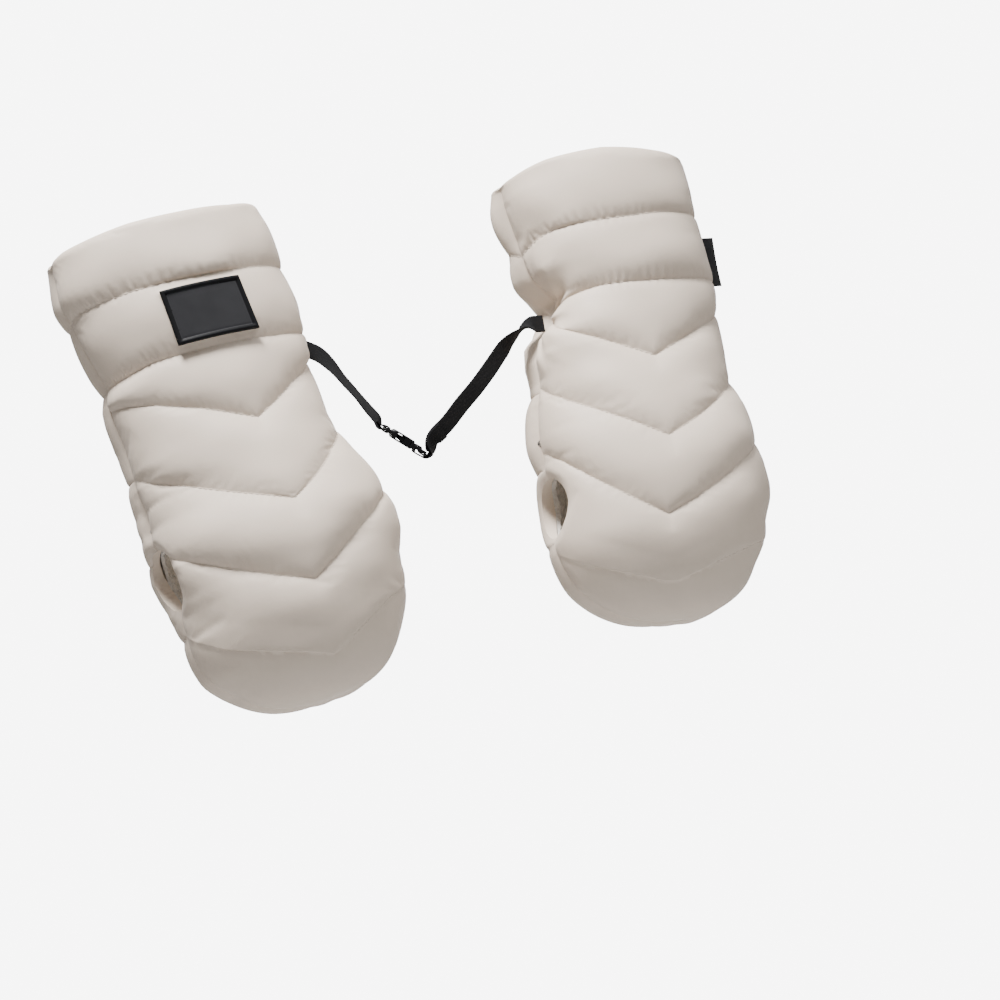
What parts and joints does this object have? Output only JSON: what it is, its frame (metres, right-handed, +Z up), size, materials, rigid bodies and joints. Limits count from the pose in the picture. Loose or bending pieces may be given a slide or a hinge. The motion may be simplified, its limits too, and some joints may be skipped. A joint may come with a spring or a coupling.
{
  "type": "stroller hand muff",
  "caption": "Pair of quilted, fleece-lined hand muffs that close round a push bar, joined by webbing with a side-release buckle.",
  "frame": {"origin": "on the push bar's axis, midway between the two muffs", "axes": "+X along the push bar, to the viewer's right; +Y to the back, where the flaps open; +Z up, towards the cuffs"},
  "size_m": [0.4803, 0.136, 0.3434],
  "materials": {
    "muff_fabric": "satin-matte polyester shell, warm light grey",
    "fleece_lining": "soft fleece pile",
    "black_webbing": "woven black webbing",
    "black_plastic": "moulded black acetal, slightly glossy",
    "patch_rubber": "moulded soft rubber, charcoal",
    "label_cloth": "woven black label tape",
    "snap_metal": "nickel-plated snap fastener"
  },
  "bodies": {
    "left_muff": {"left_front_panel": "muff_fabric", "left_back_panel": "muff_fabric", "left_front_lining": "fleece_lining", "left_back_lining": "fleece_lining", "left_cuff_facing": "muff_fabric", "left_snap_socket_lower_left": "snap_metal", "left_snap_socket_lower_right": "snap_metal", "left_snap_socket_upper_left": "snap_metal", "left_snap_socket_upper_right": "snap_metal", "left_rubber_patch": "patch_rubber", "strap_left": "black_webbing"},
    "left_flap": {"left_flap_panel": "muff_fabric", "left_flap_lining": "fleece_lining", "left_snap_stud_lower_left": "snap_metal", "left_snap_stud_lower_right": "snap_metal", "left_snap_stud_upper_left": "snap_metal", "left_snap_stud_upper_right": "snap_metal"},
    "right_muff": {"right_front_panel": "muff_fabric", "right_back_panel": "muff_fabric", "right_front_lining": "fleece_lining", "right_back_lining": "fleece_lining", "right_cuff_facing": "muff_fabric", "right_snap_socket_lower_left": "snap_metal", "right_snap_socket_lower_right": "snap_metal", "right_snap_socket_upper_left": "snap_metal", "right_snap_socket_upper_right": "snap_metal", "right_side_label": "label_cloth", "strap_right": "black_webbing"},
    "right_flap": {"right_flap_panel": "muff_fabric", "right_flap_lining": "fleece_lining", "right_snap_stud_lower_left": "snap_metal", "right_snap_stud_lower_right": "snap_metal", "right_snap_stud_upper_left": "snap_metal", "right_snap_stud_upper_right": "snap_metal"},
    "buckle_female": {"buckle_female": "black_plastic"},
    "buckle_male": {"buckle_male": "black_plastic"},
    "prong_upper": {"prong_upper": "black_plastic"},
    "prong_lower": {"prong_lower": "black_plastic"}
  },
  "joints": [
    {"name": "left_flap_hinge", "type": "hinge", "parent": "left_muff", "child": "left_flap", "pos_m": [-0.15025, 0.05399, 0.0772], "axis": [0.9962, 0, 0.0872], "range_deg": [0, 80]},
    {"name": "right_flap_hinge", "type": "hinge", "parent": "right_muff", "child": "right_flap", "pos_m": [0.15025, 0.05399, 0.0772], "axis": [0.9962, 0, -0.0872], "range_deg": [0, 80]},
    {"name": "muff_spacing", "type": "slide", "parent": "left_muff", "child": "right_muff", "axis": [1, 0, 0], "range_m": [-0.04, 0.04], "deforming": ["strap_right"]},
    {"name": "buckle_carry", "type": "slide", "parent": "right_muff", "child": "buckle_male", "axis": [1, 0, 0], "range_m": [-0.04, 0.04], "deforming": ["strap_right"]},
    {"name": "buckle_release", "type": "slide", "parent": "left_muff", "child": "buckle_female", "axis": [-0.7431, 0, 0.6691], "range_m": [0, 0.016], "deforming": ["strap_left", "prong_upper", "prong_lower"]},
    {"name": "prong_upper_squeeze", "type": "hinge", "parent": "buckle_male", "child": "prong_upper", "pos_m": [-0.02363, 0.00486, 0.06555], "axis": [0.6084, -0.4163, 0.6757], "range_deg": [0, 13], "stiffness_Nm_per_rad": 0.25},
    {"name": "prong_lower_squeeze", "type": "hinge", "parent": "buckle_male", "child": "prong_lower", "pos_m": [-0.02661, -0.00486, 0.06224], "axis": [0.6084, -0.4163, 0.6757], "range_deg": [-13, 0], "stiffness_Nm_per_rad": 0.25}
  ],
  "couplings": [
    {"joint": "buckle_carry", "follows": "muff_spacing", "ratio": -1}
  ]
}
